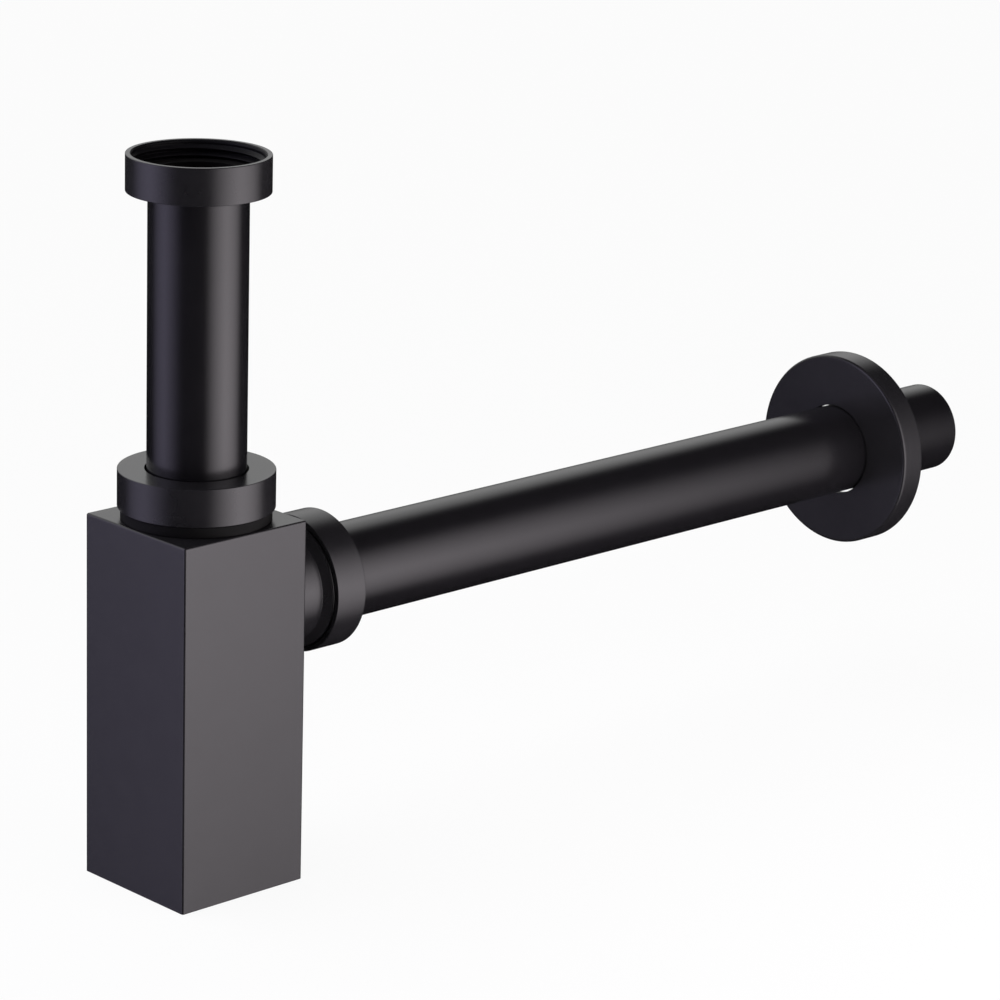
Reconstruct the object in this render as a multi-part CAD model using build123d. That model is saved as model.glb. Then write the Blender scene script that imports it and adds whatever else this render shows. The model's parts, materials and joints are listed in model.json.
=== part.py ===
from build123d import *
import os

# Square bottle trap for a basin waste, in millimetres.
# Heights are measured up from the body's base, and distances along the outlet from the inlet axis.
# The written parts have their origin at the middle of the inlet nut's mouth, +Z up and the outlet along +X.

# Tubes: one size of drawn tube serves the inlet, the outlet and the stub
tube_radius = 16.0
tube_wall = 1.2
tube_end_round = 0.4
flange_thickness = 1.2

# Body: a square box with its base plate set inside
body_side = 50.0
body_height = 122.3
body_wall = 1.5
body_edge_round = 0.7
base_thickness = 4.0

# Screw threads are held as plain walls at their major radius.
# What passes through a nut's mouth clears their depth.
thread_depth = 1.48

# Union joint, used at the inlet and at the outlet, with its thread's step out from the tube
union_thread_step = 4.95
union_nut_wall = 1.95
union_nut_length = 12.0
union_nut_floor = 2.2
slip_ring_thickness = 0.8
flat_washer_thickness = 2.0

# Neck joint on top of the body, with its thread's step out from the tube
neck_thread_step = 7.9
neck_gasket_step = 0.35
neck_gasket_thickness = 3.5
neck_gasket_round = 0.3
neck_seat_wall = 3.35
neck_spigot_wall = 2.1
neck_spigot_depth = 3.0
neck_nut_wall = 1.3
neck_nut_length = 12.5
neck_nut_floor = 2.5
neck_nut_gap = 0.3
thrust_ring_thickness = 1.5
seal_height = 6.0
seal_cone_height = 3.4
seal_tip_wall = 2.3
seal_proud = 0.8

# Dip tube, which makes the water seal
dip_tube_wall = 1.0
dip_tube_foot = 24.0

# Inlet: how far the nut's mouth stands above the neck nut, and the whole pipe
inlet_rise = 101.8
inlet_pipe_length = 158.0

# Outlet
outlet_below_top = 30.2
stub_reach = 21.5
stub_inside = 1.0
outlet_hub_step = 2.4
outlet_shoulder_length = 2.05
outlet_thread_length = 6.45
outlet_pipe_length = 305.0

# Wall flange, whose front stands back from the end of the outlet pipe
wall_flange_radius = 35.0
wall_flange_depth = 9.4
wall_flange_wall = 1.3
wall_flange_edge_round = 1.0
wall_flange_lip_length = 3.0
wall_flange_lip_wall = 1.6
wall_flange_setback = 50.5
wall_flange_drop = 0.2

# Clean-out plug in the base
plug_thread_radius = 14.0
plug_thread_length = 6.0
plug_head_step = 2.3
plug_head_height = 2.5
plug_slot_width = 3.0
plug_slot_depth = 1.6
plug_slot_end = 3.3
plug_wall = 3.5
plug_roof = 1.4
bush_wall = 2.4
bush_margin = 0.5
gasket_thickness = 1.0

# Clearances, each on the radius
thread_clearance = 0.1
running_clearance = 0.05
bore_clearance = 0.35
ring_clearance = 0.15
washer_clearance = 0.1
flange_clearance = 0.2
nut_hole_clearance = 0.5
neck_hole_clearance = 0.6
dip_tube_clearance = 0.4
seal_seat_clearance = 0.15
plug_head_clearance = 0.3
wall_hole_clearance = 0.5

# Small edge breaks
nut_edge_round = 0.25
small_edge_round = 0.15
thread_lead_chamfer = 0.6
mouth_chamfer = 0.5
thread_relief = 0.3

# Radii worked out from the sizes above
tube_bore = tube_radius - tube_wall
dip_tube_inner = tube_radius + dip_tube_clearance
dip_tube_outer = dip_tube_inner + dip_tube_wall

union_thread_radius = tube_radius + union_thread_step
union_nut_bore = union_thread_radius + thread_clearance
union_nut_radius = union_nut_bore + union_nut_wall
union_crest_radius = union_nut_bore - thread_depth
slip_ring_outer = union_crest_radius - ring_clearance
washer_outer = union_crest_radius - washer_clearance
flange_radius = union_crest_radius - flange_clearance

neck_thread_radius = tube_radius + neck_thread_step
neck_gasket_radius = neck_thread_radius + neck_gasket_step
neck_spigot_radius = dip_tube_outer + neck_spigot_wall
neck_nut_bore = neck_thread_radius + thread_clearance
neck_nut_radius = neck_nut_bore + neck_nut_wall
thrust_ring_outer = neck_nut_bore - thread_depth - ring_clearance
seat_radius = neck_thread_radius - neck_seat_wall
seal_radius = seat_radius - seal_seat_clearance
seal_tip_radius = tube_radius + seal_tip_wall

plug_bore = plug_thread_radius + thread_clearance
plug_head_radius = plug_thread_radius + plug_head_step
plug_recess = plug_head_radius + plug_head_clearance
plug_hollow_radius = plug_thread_radius - plug_wall
bush_radius = plug_recess + bush_wall

# Heights above the base
neck_gasket_top = body_height + neck_gasket_thickness
neck_nut_bottom = neck_gasket_top + neck_nut_gap
neck_nut_top = neck_nut_bottom + neck_nut_length
thrust_ring_top = neck_nut_top - neck_nut_floor
seal_top = thrust_ring_top - thrust_ring_thickness
seal_bottom = seal_top - seal_height
seal_cone_top = seal_bottom + seal_cone_height
neck_thread_top = seal_top - seal_proud
inlet_mouth_height = neck_nut_top + inlet_rise
outlet_height = body_height - outlet_below_top
plug_seat = plug_head_height + gasket_thickness
plug_top = plug_seat + plug_thread_length
bush_height = plug_top + bush_margin

# Depths inside a union joint, measured from the nut's mouth
slip_ring_seat = union_nut_length - union_nut_floor
flange_back = slip_ring_seat - slip_ring_thickness
flange_face = flange_back - flange_thickness
washer_face = flange_face - flat_washer_thickness

# Distances along the outlet
body_half = body_side / 2
body_inside = body_side - 2 * body_wall
outlet_collar_face = body_half + stub_reach
outlet_nut_start = outlet_collar_face - washer_face
outlet_pipe_start = outlet_nut_start + flange_face
wall_flange_start = outlet_pipe_start + outlet_pipe_length - wall_flange_setback


def turned(points):
    """A solid turned about the Z axis from a profile of (radius, height) points."""
    profile = make_face(Polyline(*[(radius, 0, height) for radius, height in points], close=True))
    return revolve(profile, Axis.Z)


def ring(outer, inner, low, high):
    """A plain ring about the Z axis."""
    return turned([(inner, low), (outer, low), (outer, high), (inner, high)])


def round_edges(shape, amount, radius, height):
    """Round the circular edge of the given radius that lies at the given height."""
    edges = [
        edge
        for edge in shape.edges().filter_by(GeomType.CIRCLE)
        if abs(edge.radius - radius) < 1e-4 and abs(edge.center().Z - height) < 1e-4
    ]
    return fillet(edges, amount)


def along_outlet(shape, start):
    """Turn a part made about the Z axis so that it runs along the outlet from the given distance."""
    return Pos(start, 0, outlet_height) * Rot(0, 90, 0) * shape


def body_shell():
    """Square tube closed by its top, with holes for the neck collar and the outlet stub."""
    centred = (Align.CENTER, Align.CENTER, Align.MIN)
    block = Box(body_side, body_side, body_height, align=centred)
    edges = block.edges().filter_by(Axis.Z) + block.faces().sort_by(Axis.Z)[-1].edges()
    block = fillet(edges, body_edge_round)
    hollow = Box(body_inside, body_inside, body_height - body_wall, align=centred)
    neck_hole = Pos(0, 0, body_height - body_wall / 2) * Cylinder(neck_spigot_radius, 2 * body_wall)
    stub_hole = along_outlet(Cylinder(tube_radius, 2 * body_wall), body_half - body_wall / 2)
    return block - hollow - neck_hole - stub_hole


def base_plate():
    """Plate brazed inside the bottom of the box, with the hole for the clean-out bush."""
    centred = (Align.CENTER, Align.CENTER, Align.MIN)
    plate = Box(body_inside, body_inside, base_thickness, align=centred)
    return plate - Cylinder(bush_radius, 4 * base_thickness)


def neck_collar():
    """Threaded collar whose spigot is fixed in the top of the box, with the seal's cone seat in its mouth."""
    tip_radius = seal_tip_radius + seal_seat_clearance
    spigot_foot = body_height - body_wall - neck_spigot_depth
    return turned(
        [
            (dip_tube_outer, spigot_foot),
            (neck_spigot_radius, spigot_foot),
            (neck_spigot_radius, neck_gasket_top),
            (neck_thread_radius, neck_gasket_top),
            (neck_thread_radius, neck_thread_top - thread_lead_chamfer),
            (neck_thread_radius - thread_lead_chamfer, neck_thread_top),
            (seat_radius, neck_thread_top),
            (seat_radius, seal_cone_top),
            (tip_radius, seal_bottom),
            (dip_tube_outer, seal_bottom),
        ]
    )


def neck_gasket():
    """Thick rubber ring round the spigot, between the box's top and the collar's thread."""
    bore = neck_spigot_radius + washer_clearance
    shape = ring(neck_gasket_radius, bore, body_height, neck_gasket_top)
    shape = round_edges(shape, neck_gasket_round, neck_gasket_radius, body_height)
    return round_edges(shape, neck_gasket_round, neck_gasket_radius, neck_gasket_top)


def dip_tube():
    """Tube that carries the water down to the foot of the trap."""
    return ring(dip_tube_outer, dip_tube_inner, dip_tube_foot, seal_bottom)


def body_seal():
    """Rubber cone that grips the inlet pipe."""
    bore = tube_radius + running_clearance
    return turned(
        [
            (bore, seal_bottom),
            (seal_tip_radius, seal_bottom),
            (seal_radius, seal_cone_top),
            (seal_radius, seal_top),
            (bore, seal_top),
        ]
    )


def body_slip_ring():
    """Thrust ring between the seal and the neck nut."""
    return ring(thrust_ring_outer, tube_radius + bore_clearance, seal_top, thrust_ring_top)


def cap_nut(outer, bore, hole, length, floor, thread_length):
    """Round nut with its floor at the bottom, its thread at the mouth and a relief groove between them."""
    relief = bore + thread_relief
    shape = turned(
        [
            (hole, 0),
            (outer, 0),
            (outer, length),
            (bore + mouth_chamfer, length),
            (bore, length - mouth_chamfer),
            (bore, length - thread_length),
            (relief, length - thread_length),
            (relief, floor),
            (hole, floor),
        ]
    )
    shape = round_edges(shape, nut_edge_round, outer, 0)
    return round_edges(shape, nut_edge_round, outer, length)


def union_nut():
    """Nut of the union joint."""
    hole = tube_radius + nut_hole_clearance
    return cap_nut(union_nut_radius, union_nut_bore, hole, union_nut_length, union_nut_floor, washer_face)


def body_nut():
    """Compression nut on the neck collar, mouth down."""
    hole = tube_radius + neck_hole_clearance
    engaged = neck_thread_top - neck_nut_bottom
    nut = cap_nut(neck_nut_radius, neck_nut_bore, hole, neck_nut_length, neck_nut_floor, engaged)
    return Pos(0, 0, neck_nut_top) * Rot(180, 0, 0) * nut


def flanged_tube(length):
    """Drawn tube with a rolled flange at its lower end and a rounded upper end."""
    shape = turned(
        [
            (tube_bore, 0),
            (flange_radius, 0),
            (flange_radius, flange_thickness),
            (tube_radius, flange_thickness),
            (tube_radius, length),
            (tube_bore, length),
        ]
    )
    shape = round_edges(shape, tube_end_round, tube_radius, length)
    return round_edges(shape, tube_end_round, flange_radius, flange_thickness)


def slip_ring():
    """Thin ring between the nut's floor and the tube's flange."""
    return ring(slip_ring_outer, tube_radius + running_clearance, 0, slip_ring_thickness)


def flat_washer():
    """Flat rubber washer that the tube's flange is pressed on."""
    return ring(washer_outer, tube_bore, 0, flat_washer_thickness)


def hang_from_mouth(shape, depth):
    """Turn a union piece mouth up and hang it at its depth under the inlet nut's mouth."""
    return Pos(0, 0, inlet_mouth_height - depth) * Rot(180, 0, 0) * shape


def inlet_nut():
    """Inlet nut, mouth up."""
    return Pos(0, 0, inlet_mouth_height - union_nut_length) * union_nut()


def outlet_nut():
    """Outlet nut, mouth towards the body."""
    return along_outlet(Rot(180, 0, 0) * union_nut(), outlet_nut_start + union_nut_length)


def outlet_stub():
    """Short tube brazed into the side of the box."""
    reach = stub_reach + body_wall + stub_inside
    return along_outlet(ring(tube_radius, tube_bore, 0, reach), outlet_collar_face - reach)


def outlet_collar():
    """Collar brazed round the stub: a plain hub from the box, a sloping shoulder and a threaded end."""
    hub_radius = tube_radius + outlet_hub_step
    thread_start = stub_reach - outlet_thread_length
    collar = turned(
        [
            (tube_radius, 0),
            (hub_radius, 0),
            (hub_radius, thread_start - outlet_shoulder_length),
            (union_thread_radius, thread_start),
            (union_thread_radius, stub_reach - thread_lead_chamfer),
            (union_thread_radius - thread_lead_chamfer, stub_reach),
            (tube_radius, stub_reach),
        ]
    )
    return along_outlet(collar, body_half)


def wall_flange():
    """Round cover plate, a shallow dish open at the back with a short lip around the pipe."""
    hole = tube_radius + wall_hole_clearance
    lip = hole + wall_flange_lip_wall
    inside = wall_flange_radius - wall_flange_wall
    shape = turned(
        [
            (hole, 0),
            (wall_flange_radius, 0),
            (wall_flange_radius, wall_flange_depth),
            (inside, wall_flange_depth),
            (inside, wall_flange_wall),
            (lip, wall_flange_wall),
            (lip, wall_flange_lip_length),
            (hole, wall_flange_lip_length),
        ]
    )
    shape = round_edges(shape, wall_flange_edge_round, wall_flange_radius, 0)
    shape = round_edges(shape, small_edge_round, hole, 0)
    return Pos(0, 0, -wall_flange_drop) * along_outlet(shape, wall_flange_start)


def cleanout_bush():
    """Threaded bush brazed into the base plate, with a recess for the plug's head."""
    return turned(
        [
            (plug_recess, 0),
            (bush_radius, 0),
            (bush_radius, bush_height),
            (plug_bore, bush_height),
            (plug_bore, plug_seat),
            (plug_recess, plug_seat),
        ]
    )


def cleanout_gasket():
    """Rubber gasket under the plug's head."""
    return ring(plug_head_radius, plug_bore, plug_head_height, plug_seat)


def cleanout_plug():
    """Plug with a coin slot, its head flush with the base and its shank hollow from above."""
    plug = turned(
        [
            (0, 0),
            (plug_head_radius, 0),
            (plug_head_radius, plug_head_height),
            (plug_thread_radius, plug_head_height),
            (plug_thread_radius, plug_top - thread_lead_chamfer),
            (plug_thread_radius - thread_lead_chamfer, plug_top),
            (plug_hollow_radius, plug_top),
            (plug_hollow_radius, plug_slot_depth + plug_roof),
            (0, plug_slot_depth + plug_roof),
        ]
    )
    plug = round_edges(plug, nut_edge_round, plug_head_radius, 0)
    slot_length = 2 * (plug_head_radius - plug_slot_end)
    return plug - Box(slot_length, plug_slot_width, 2 * plug_slot_depth)


parts = {
    "body_shell": body_shell(),
    "base_plate": base_plate(),
    "neck_collar": neck_collar(),
    "neck_gasket": neck_gasket(),
    "dip_tube": dip_tube(),
    "body_seal": body_seal(),
    "body_slip_ring": body_slip_ring(),
    "body_nut": body_nut(),
    "inlet_pipe": hang_from_mouth(flanged_tube(inlet_pipe_length), flange_face),
    "inlet_washer": hang_from_mouth(flat_washer(), washer_face),
    "inlet_slip_ring": hang_from_mouth(slip_ring(), flange_back),
    "inlet_nut": inlet_nut(),
    "outlet_stub": outlet_stub(),
    "outlet_collar": outlet_collar(),
    "outlet_washer": along_outlet(flat_washer(), outlet_collar_face),
    "outlet_slip_ring": along_outlet(slip_ring(), outlet_nut_start + flange_back),
    "outlet_nut": outlet_nut(),
    "outlet_pipe": along_outlet(flanged_tube(outlet_pipe_length), outlet_pipe_start),
    "wall_flange": wall_flange(),
    "cleanout_bush": cleanout_bush(),
    "cleanout_gasket": cleanout_gasket(),
    "cleanout_plug": cleanout_plug(),
}

os.makedirs("parts", exist_ok=True)
for node, shape in parts.items():
    export_step(Pos(0, 0, -inlet_mouth_height) * shape, f"parts/{node}.step")
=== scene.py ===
"""Add-on that dresses a square bottle trap: nuts with cut threads, tubes, seals, finishes and a studio."""

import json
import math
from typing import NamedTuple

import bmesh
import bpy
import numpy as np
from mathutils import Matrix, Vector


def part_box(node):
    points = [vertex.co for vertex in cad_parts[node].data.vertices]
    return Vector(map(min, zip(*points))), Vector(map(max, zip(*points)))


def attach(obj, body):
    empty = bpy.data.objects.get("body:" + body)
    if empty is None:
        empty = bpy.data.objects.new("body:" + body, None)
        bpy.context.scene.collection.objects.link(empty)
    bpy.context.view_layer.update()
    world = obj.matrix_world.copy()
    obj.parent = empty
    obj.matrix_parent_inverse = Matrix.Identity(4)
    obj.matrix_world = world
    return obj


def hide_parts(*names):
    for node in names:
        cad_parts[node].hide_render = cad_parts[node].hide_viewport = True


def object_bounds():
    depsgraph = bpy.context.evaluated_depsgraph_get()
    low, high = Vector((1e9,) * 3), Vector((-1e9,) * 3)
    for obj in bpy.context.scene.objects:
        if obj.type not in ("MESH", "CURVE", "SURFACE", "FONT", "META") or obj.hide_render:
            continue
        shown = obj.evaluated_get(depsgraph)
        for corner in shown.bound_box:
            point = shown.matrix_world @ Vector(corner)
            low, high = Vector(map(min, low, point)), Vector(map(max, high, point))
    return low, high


bl_info = {
    "name": "Bottle Trap Dresser",
    "version": (1, 0, 0),
    "blender": (4, 5, 0),
    "location": "View3D > Sidebar > Bottle Trap",
    "description": "Builds the visible pieces of a square bottle trap round its CAD frame and lights them",
    "category": "Object",
}

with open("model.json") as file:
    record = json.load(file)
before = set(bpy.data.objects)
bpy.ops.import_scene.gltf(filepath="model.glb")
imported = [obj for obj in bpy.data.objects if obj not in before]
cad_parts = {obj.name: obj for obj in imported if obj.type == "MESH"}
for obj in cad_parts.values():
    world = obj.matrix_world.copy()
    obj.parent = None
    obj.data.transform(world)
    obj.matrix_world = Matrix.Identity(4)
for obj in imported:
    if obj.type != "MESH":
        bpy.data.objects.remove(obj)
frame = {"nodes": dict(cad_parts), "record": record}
cad_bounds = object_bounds()

MM = 0.001
FULL_TURN = 2.0 * math.pi
RIGHT_ANGLE = 0.5 * math.pi

# Lengths nearer than the first are equal, and points nearer than the second are welded. A guard point
# stands off the end of an arc by a length, or by a share of a short flat. A cut leaves edges that turn
# by more than the angle sharp.
SAME_PLACE = 1e-7
WELD = 0.001 * MM
GUARD = 0.3 * MM
GUARD_SHARE = 0.3
SHARP_ANGLE = math.radians(35.0)

# How near a thread's rounded wave comes to a plain triangle, in how many pitches it gets its full depth, and
# how deep in a nut's mouth it starts, in depths of the mouth's chamfer.
THREAD_SHARPNESS = 0.97
NUT_RAMP = 1.1
COLLAR_RAMP = 0.6
NUT_START = 1.2

# Specular level of what is dull: rubber, and the thin coat on a thread.
DULL = 0.2

# Turn of the camera in its view, and its sensor's width in millimetres.
ROLL = math.radians(1.659)
SENSOR = 36.0


# ---------------------------------------------------------------- sizes and finishes a user may change


def length(name, description, millimetres):
    """A length property, stored in metres."""
    return bpy.props.FloatProperty(
        name=name, description=description, default=millimetres * MM, min=0.0, unit="LENGTH", precision=5
    )


def share(name, description, value):
    """A property from nothing to all."""
    return bpy.props.FloatProperty(
        name=name, description=description, default=value, min=0.0, max=1.0, subtype="FACTOR"
    )


def colour(name, description, value):
    """A linear colour property."""
    return bpy.props.FloatVectorProperty(
        name=name, description=description, default=value, min=0.0, size=3, subtype="COLOR"
    )


def place(name, description, value):
    """A point in the frame, in metres."""
    return bpy.props.FloatVectorProperty(
        name=name, description=description, default=value, size=3, subtype="TRANSLATION"
    )


class TrapThreadSizes(bpy.types.PropertyGroup):
    """Screw threads, rounded at crest and root and right-handed."""

    pitch: length("Pitch", "Advance of a pipe thread in one turn, 11 turns to the inch", 2.309)
    depth: length("Depth", "Height of a pipe thread from root to crest", 1.48)
    plug_pitch: length("Plug pitch", "Advance of the clean-out thread in one turn", 1.5)
    plug_depth: length("Plug depth", "Height of the clean-out thread", 0.92)
    clearance: length("Clearance", "Gap on the radius between a cut thread and its mate", 0.1)
    relief: length("Relief", "Depth of the groove behind a nut's thread", 0.3)
    rows: bpy.props.IntProperty(
        name="Rows", description="Rows of faces to one pitch", default=16, min=8, max=32
    )


class TrapPieceSizes(bpy.types.PropertyGroup):
    """Walls, steps and edge breaks that the frame's boxes don't give."""

    box_wall: length("Box wall", "Wall of the square box", 1.5)
    box_edge: length("Box edge", "Rounding of the box's outer edges", 0.7)
    tube_wall: length("Tube wall", "Wall of the drawn inlet and outlet tube", 1.2)
    dip_wall: length("Dip tube wall", "Wall of the inner tube", 1.0)
    flange_thickness: length("Tube flange", "Thickness of the rolled flange on a tube", 1.2)
    flange_fillet: length("Tube flange fillet", "Hollow fillet between a tube and its rolled flange", 0.3)
    union_nut_wall: length("Union nut wall", "Wall of a union nut outside its thread", 1.95)
    union_nut_floor: length("Union nut floor", "Floor of a union nut", 2.2)
    union_nut_hole: length("Union nut hole", "Gap between the tube and a union nut's floor", 0.5)
    neck_nut_wall: length("Neck nut wall", "Wall of the neck nut outside its thread", 1.3)
    neck_nut_floor: length("Neck nut floor", "Floor of the neck nut", 2.5)
    neck_nut_hole: length("Neck nut hole", "Gap between the tube and the neck nut's floor", 0.6)
    neck_spigot_wall: length("Neck spigot", "Wall of the collar inside the body", 2.1)
    neck_land: length("Neck land", "Plain stretch of the collar under its thread", 0.6)
    gasket_edge: length("Gasket edge", "Rounding of the neck gasket's edges", 0.3)
    gasket_gap: length("Gasket gap", "Gap between the neck gasket and what it lies round", 0.1)
    seal_seat: length("Seal seat", "Gap between the seal and its seat", 0.15)
    seal_tip: length("Seal tip", "Wall of the seal at the narrow end of its cone", 2.3)
    seal_cone: length("Seal cone", "Height of the seal's cone", 3.4)
    ring_gap: length("Ring gap", "Gap between the tube and the thrust ring", 0.35)
    running_gap: length("Running gap", "Gap between the tube and what grips it", 0.05)
    hub_step: length("Outlet hub", "Step in radius from the stub to the outlet collar's plain hub", 2.4)
    hub_shoulder: length("Hub shoulder", "Length of the slope between that hub and its thread", 2.05)
    hub_thread: length("Hub thread", "Length of the outlet collar's threaded end", 6.45)
    braze_fillet: length("Braze fillet", "Hollow fillet where the outlet collar meets the body", 0.6)
    cover_wall: length("Cover wall", "Wall of the round wall flange", 1.3)
    cover_lip: length("Cover lip", "Wall of the lip round the wall flange's hole", 1.6)
    cover_lip_length: length("Cover lip length", "Reach of that lip behind the front", 3.0)
    cover_hole: length("Cover hole", "Gap between the tube and the wall flange", 0.5)
    cover_edge: length("Cover edge", "Rounding of the wall flange's front edge", 1.0)
    bush_wall: length("Bush wall", "Wall of the clean-out bush round the plug's head", 2.4)
    plug_step: length("Plug step", "Step in radius from the plug's thread to its head", 2.3)
    plug_wall: length("Plug wall", "Wall of the plug's hollow shank", 3.5)
    plug_roof: length("Plug roof", "Metal left between the slot and the hollow", 1.4)
    slot_width: length("Slot width", "Width of the plug's coin slot", 3.0)
    slot_depth: length("Slot depth", "Depth of the plug's coin slot", 1.6)
    slot_end: length("Slot end", "How far the slot stops short of the head's edge", 3.3)
    lead: length("Thread lead", "Chamfer at the end of a cut thread", 0.6)
    mouth: length("Nut mouth", "Chamfer in a nut's mouth", 0.5)
    tube_round: length("Tube end", "Rounding of a tube's cut end", 0.4)
    nut_round: length("Nut edge", "Rounding of a nut's outer edges", 0.25)
    fine_round: length("Fine edge", "Break of every other edge", 0.1)
    segments: bpy.props.IntProperty(
        name="Segments", description="Faces round a turned piece", default=192, min=48, max=512
    )


class TrapFinishes(bpy.types.PropertyGroup):
    """Colours and surface texture of the finishes."""

    gloss_lacquer: colour("Gloss lacquer", "Colour of the lacquer on tubes", (0.0090, 0.0085, 0.0098))
    gloss: share("Gloss roughness", "Roughness of the lacquer on the tubes", 0.22)
    satin_lacquer: colour("Satin lacquer", "Colour of the lacquer elsewhere", (0.0145, 0.0140, 0.0155))
    satin: share("Satin roughness", "Roughness of the lacquer elsewhere", 0.23)
    # The thread coat's tint, darker than the satin lacquer, is painted shade for the recess of a nut's mouth.
    thread_coat_painted_shade: colour("Thread lacquer", "Colour of the thin coat inside a nut", (0.0075, 0.0072, 0.0085))
    thread_roughness: share("Thread roughness", "Roughness of the thin coat inside a nut", 0.5)
    peel_size: length("Peel size", "Width of the lacquer's orange peel", 1.4)
    peel_height: length("Peel height", "Height of the lacquer's orange peel", 0.0012)
    brass: colour("Brass", "Colour of the turned brass", (0.72, 0.53, 0.26))
    brass_roughness: share("Brass roughness", "Roughness of the turned brass", 0.3)
    rubber: colour("Rubber", "Colour of the moulded rubber", (0.0044, 0.0042, 0.0042))
    rubber_roughness: share("Rubber roughness", "Roughness of the rubber", 0.75)
    nylon: colour("Nylon", "Colour of the natural nylon", (0.78, 0.76, 0.70))
    nylon_roughness: share("Nylon roughness", "Roughness of the nylon", 0.42)


class TrapStudio(bpy.types.PropertyGroup):
    """Camera, floor and light."""

    eye: place("Camera", "Camera position", (-0.81882, -0.99454, 0.27135))
    aim: place("Aim", "Point the camera looks at", (0.14401, 0.01065, -0.14148))
    roll: bpy.props.FloatProperty(
        name="Roll", description="Turn of the camera in its view", default=ROLL, subtype="ANGLE"
    )
    lens: bpy.props.FloatProperty(
        name="Lens", description="Focal length in millimetres on a 36 mm sensor", default=151.55, min=10.0
    )
    floor: colour("Floor", "Colour of the floor", (0.93, 0.93, 0.93))
    floor_glow: share("Floor glow", "Share of plain white in the floor that the camera sees", 0.93)
    key_light: colour("Key light", "Radiance of the soft panel on the right", (3.88, 3.62, 3.82))
    side_light: colour("Side light", "Radiance of the soft panel on the left", (1.22, 1.13, 1.58))
    backdrop: bpy.props.FloatProperty(
        name="Backdrop", description="Radiance of the backdrop behind the object", default=0.96, min=0.0
    )
    room: share("Room", "Radiance of the dark room", 0.0032)
    sun: bpy.props.FloatProperty(
        name="Top light", description="Irradiance of the soft light from above", default=1.5, min=0.0
    )


# ---------------------------------------------------------------- surfaces worked out with numpy


def rounded_loop(corners, radii, steps=5):
    """Closed profile through the corners, with an arc of the given radius in place of each.

    The arc touches both sides at radius / tan(half the corner's angle) from the corner and turns evenly
    from one to the other. A guard point outside each end of the arc keeps the flats' shading flat.
    """
    corners = np.asarray(corners, float)
    radii = np.broadcast_to(np.asarray(radii, float), len(corners))[:, None]
    back = np.roll(corners, 1, axis=0) - corners
    ahead = np.roll(corners, -1, axis=0) - corners
    back_length = np.linalg.norm(back, axis=1, keepdims=True)
    ahead_length = np.linalg.norm(ahead, axis=1, keepdims=True)
    back = back / back_length
    ahead = ahead / ahead_length
    half = 0.5 * np.arccos(np.clip(np.sum(back * ahead, axis=1, keepdims=True), -1.0, 1.0))
    touch = radii / np.tan(half)
    bisector = (back + ahead) / np.linalg.norm(back + ahead, axis=1, keepdims=True)
    centre = corners + bisector * radii / np.sin(half)
    turn = math.pi - 2.0 * half
    at = np.linspace(0.0, 1.0, steps + 1)[None, :, None]
    first = (corners + back * touch - centre)[:, None, :]
    last = (corners + ahead * touch - centre)[:, None, :]
    turn = turn[:, None, :]
    arc = centre[:, None, :] + (np.sin((1.0 - at) * turn) * first + np.sin(at * turn) * last) / np.sin(turn)
    flat_ahead = ahead_length - touch - np.roll(touch, -1, axis=0)
    guard_ahead = np.minimum(GUARD, GUARD_SHARE * flat_ahead)
    guard_back = np.roll(guard_ahead, 1, axis=0)
    before = corners + back * (touch + guard_back)
    after = corners + ahead * (touch + guard_ahead)
    return np.concatenate([before[:, None, :], arc, after[:, None, :]], axis=1).reshape(-1, 2)


def divided(profile, radius, longest):
    """The profile with its stretches at the given radius cut into equal steps no longer than longest."""
    following = np.roll(profile, -1, axis=0)
    span = np.linalg.norm(following - profile, axis=1)
    on_wall = np.maximum(np.abs(profile[:, 0] - radius), np.abs(following[:, 0] - radius)) < SAME_PLACE
    counts = np.where(on_wall, np.ceil(span / longest), 1).astype(int)
    owner = np.repeat(np.arange(len(profile)), counts)
    index = np.arange(counts.sum()) - np.repeat(np.cumsum(counts) - counts, counts)
    at = (index / counts[owner])[:, None]
    return profile[owner] * (1.0 - at) + following[owner] * at


class Thread:
    """A right-handed thread cut into a round wall.

    Its wave is arcsin(sharpness * sin(2 pi (height / pitch - turn))), a triangle wave with rounded crests
    and roots, and from its start it grows to its full depth over a ramp, given in pitches.
    """

    def __init__(self, radius, start, pitch, depth, ramp=1.0, inside=False, way=1.0):
        self.radius = radius
        self.start = start
        self.pitch = pitch
        self.depth = depth
        self.ramp = ramp * pitch
        self.inside = inside
        self.way = way

    def cut(self, radius, height, angle):
        """Radius of the surface at each height and angle once the thread is cut."""
        phase = FULL_TURN * height / self.pitch - angle
        wave = 0.5 + 0.5 * np.arcsin(THREAD_SHARPNESS * np.sin(phase)) / math.asin(THREAD_SHARPNESS)
        past_start = (height - self.start) * self.way
        growth = np.clip(past_start / self.ramp, 0.0, 1.0)
        surface = self.radius - self.depth * (1.0 - wave) * growth
        if self.inside:
            return np.where(np.abs(radius - self.radius) < SAME_PLACE, surface, radius)
        threaded = (radius < self.radius + SAME_PLACE) & (past_start > -SAME_PLACE)
        return np.where(threaded, np.minimum(radius, surface), radius)


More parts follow.
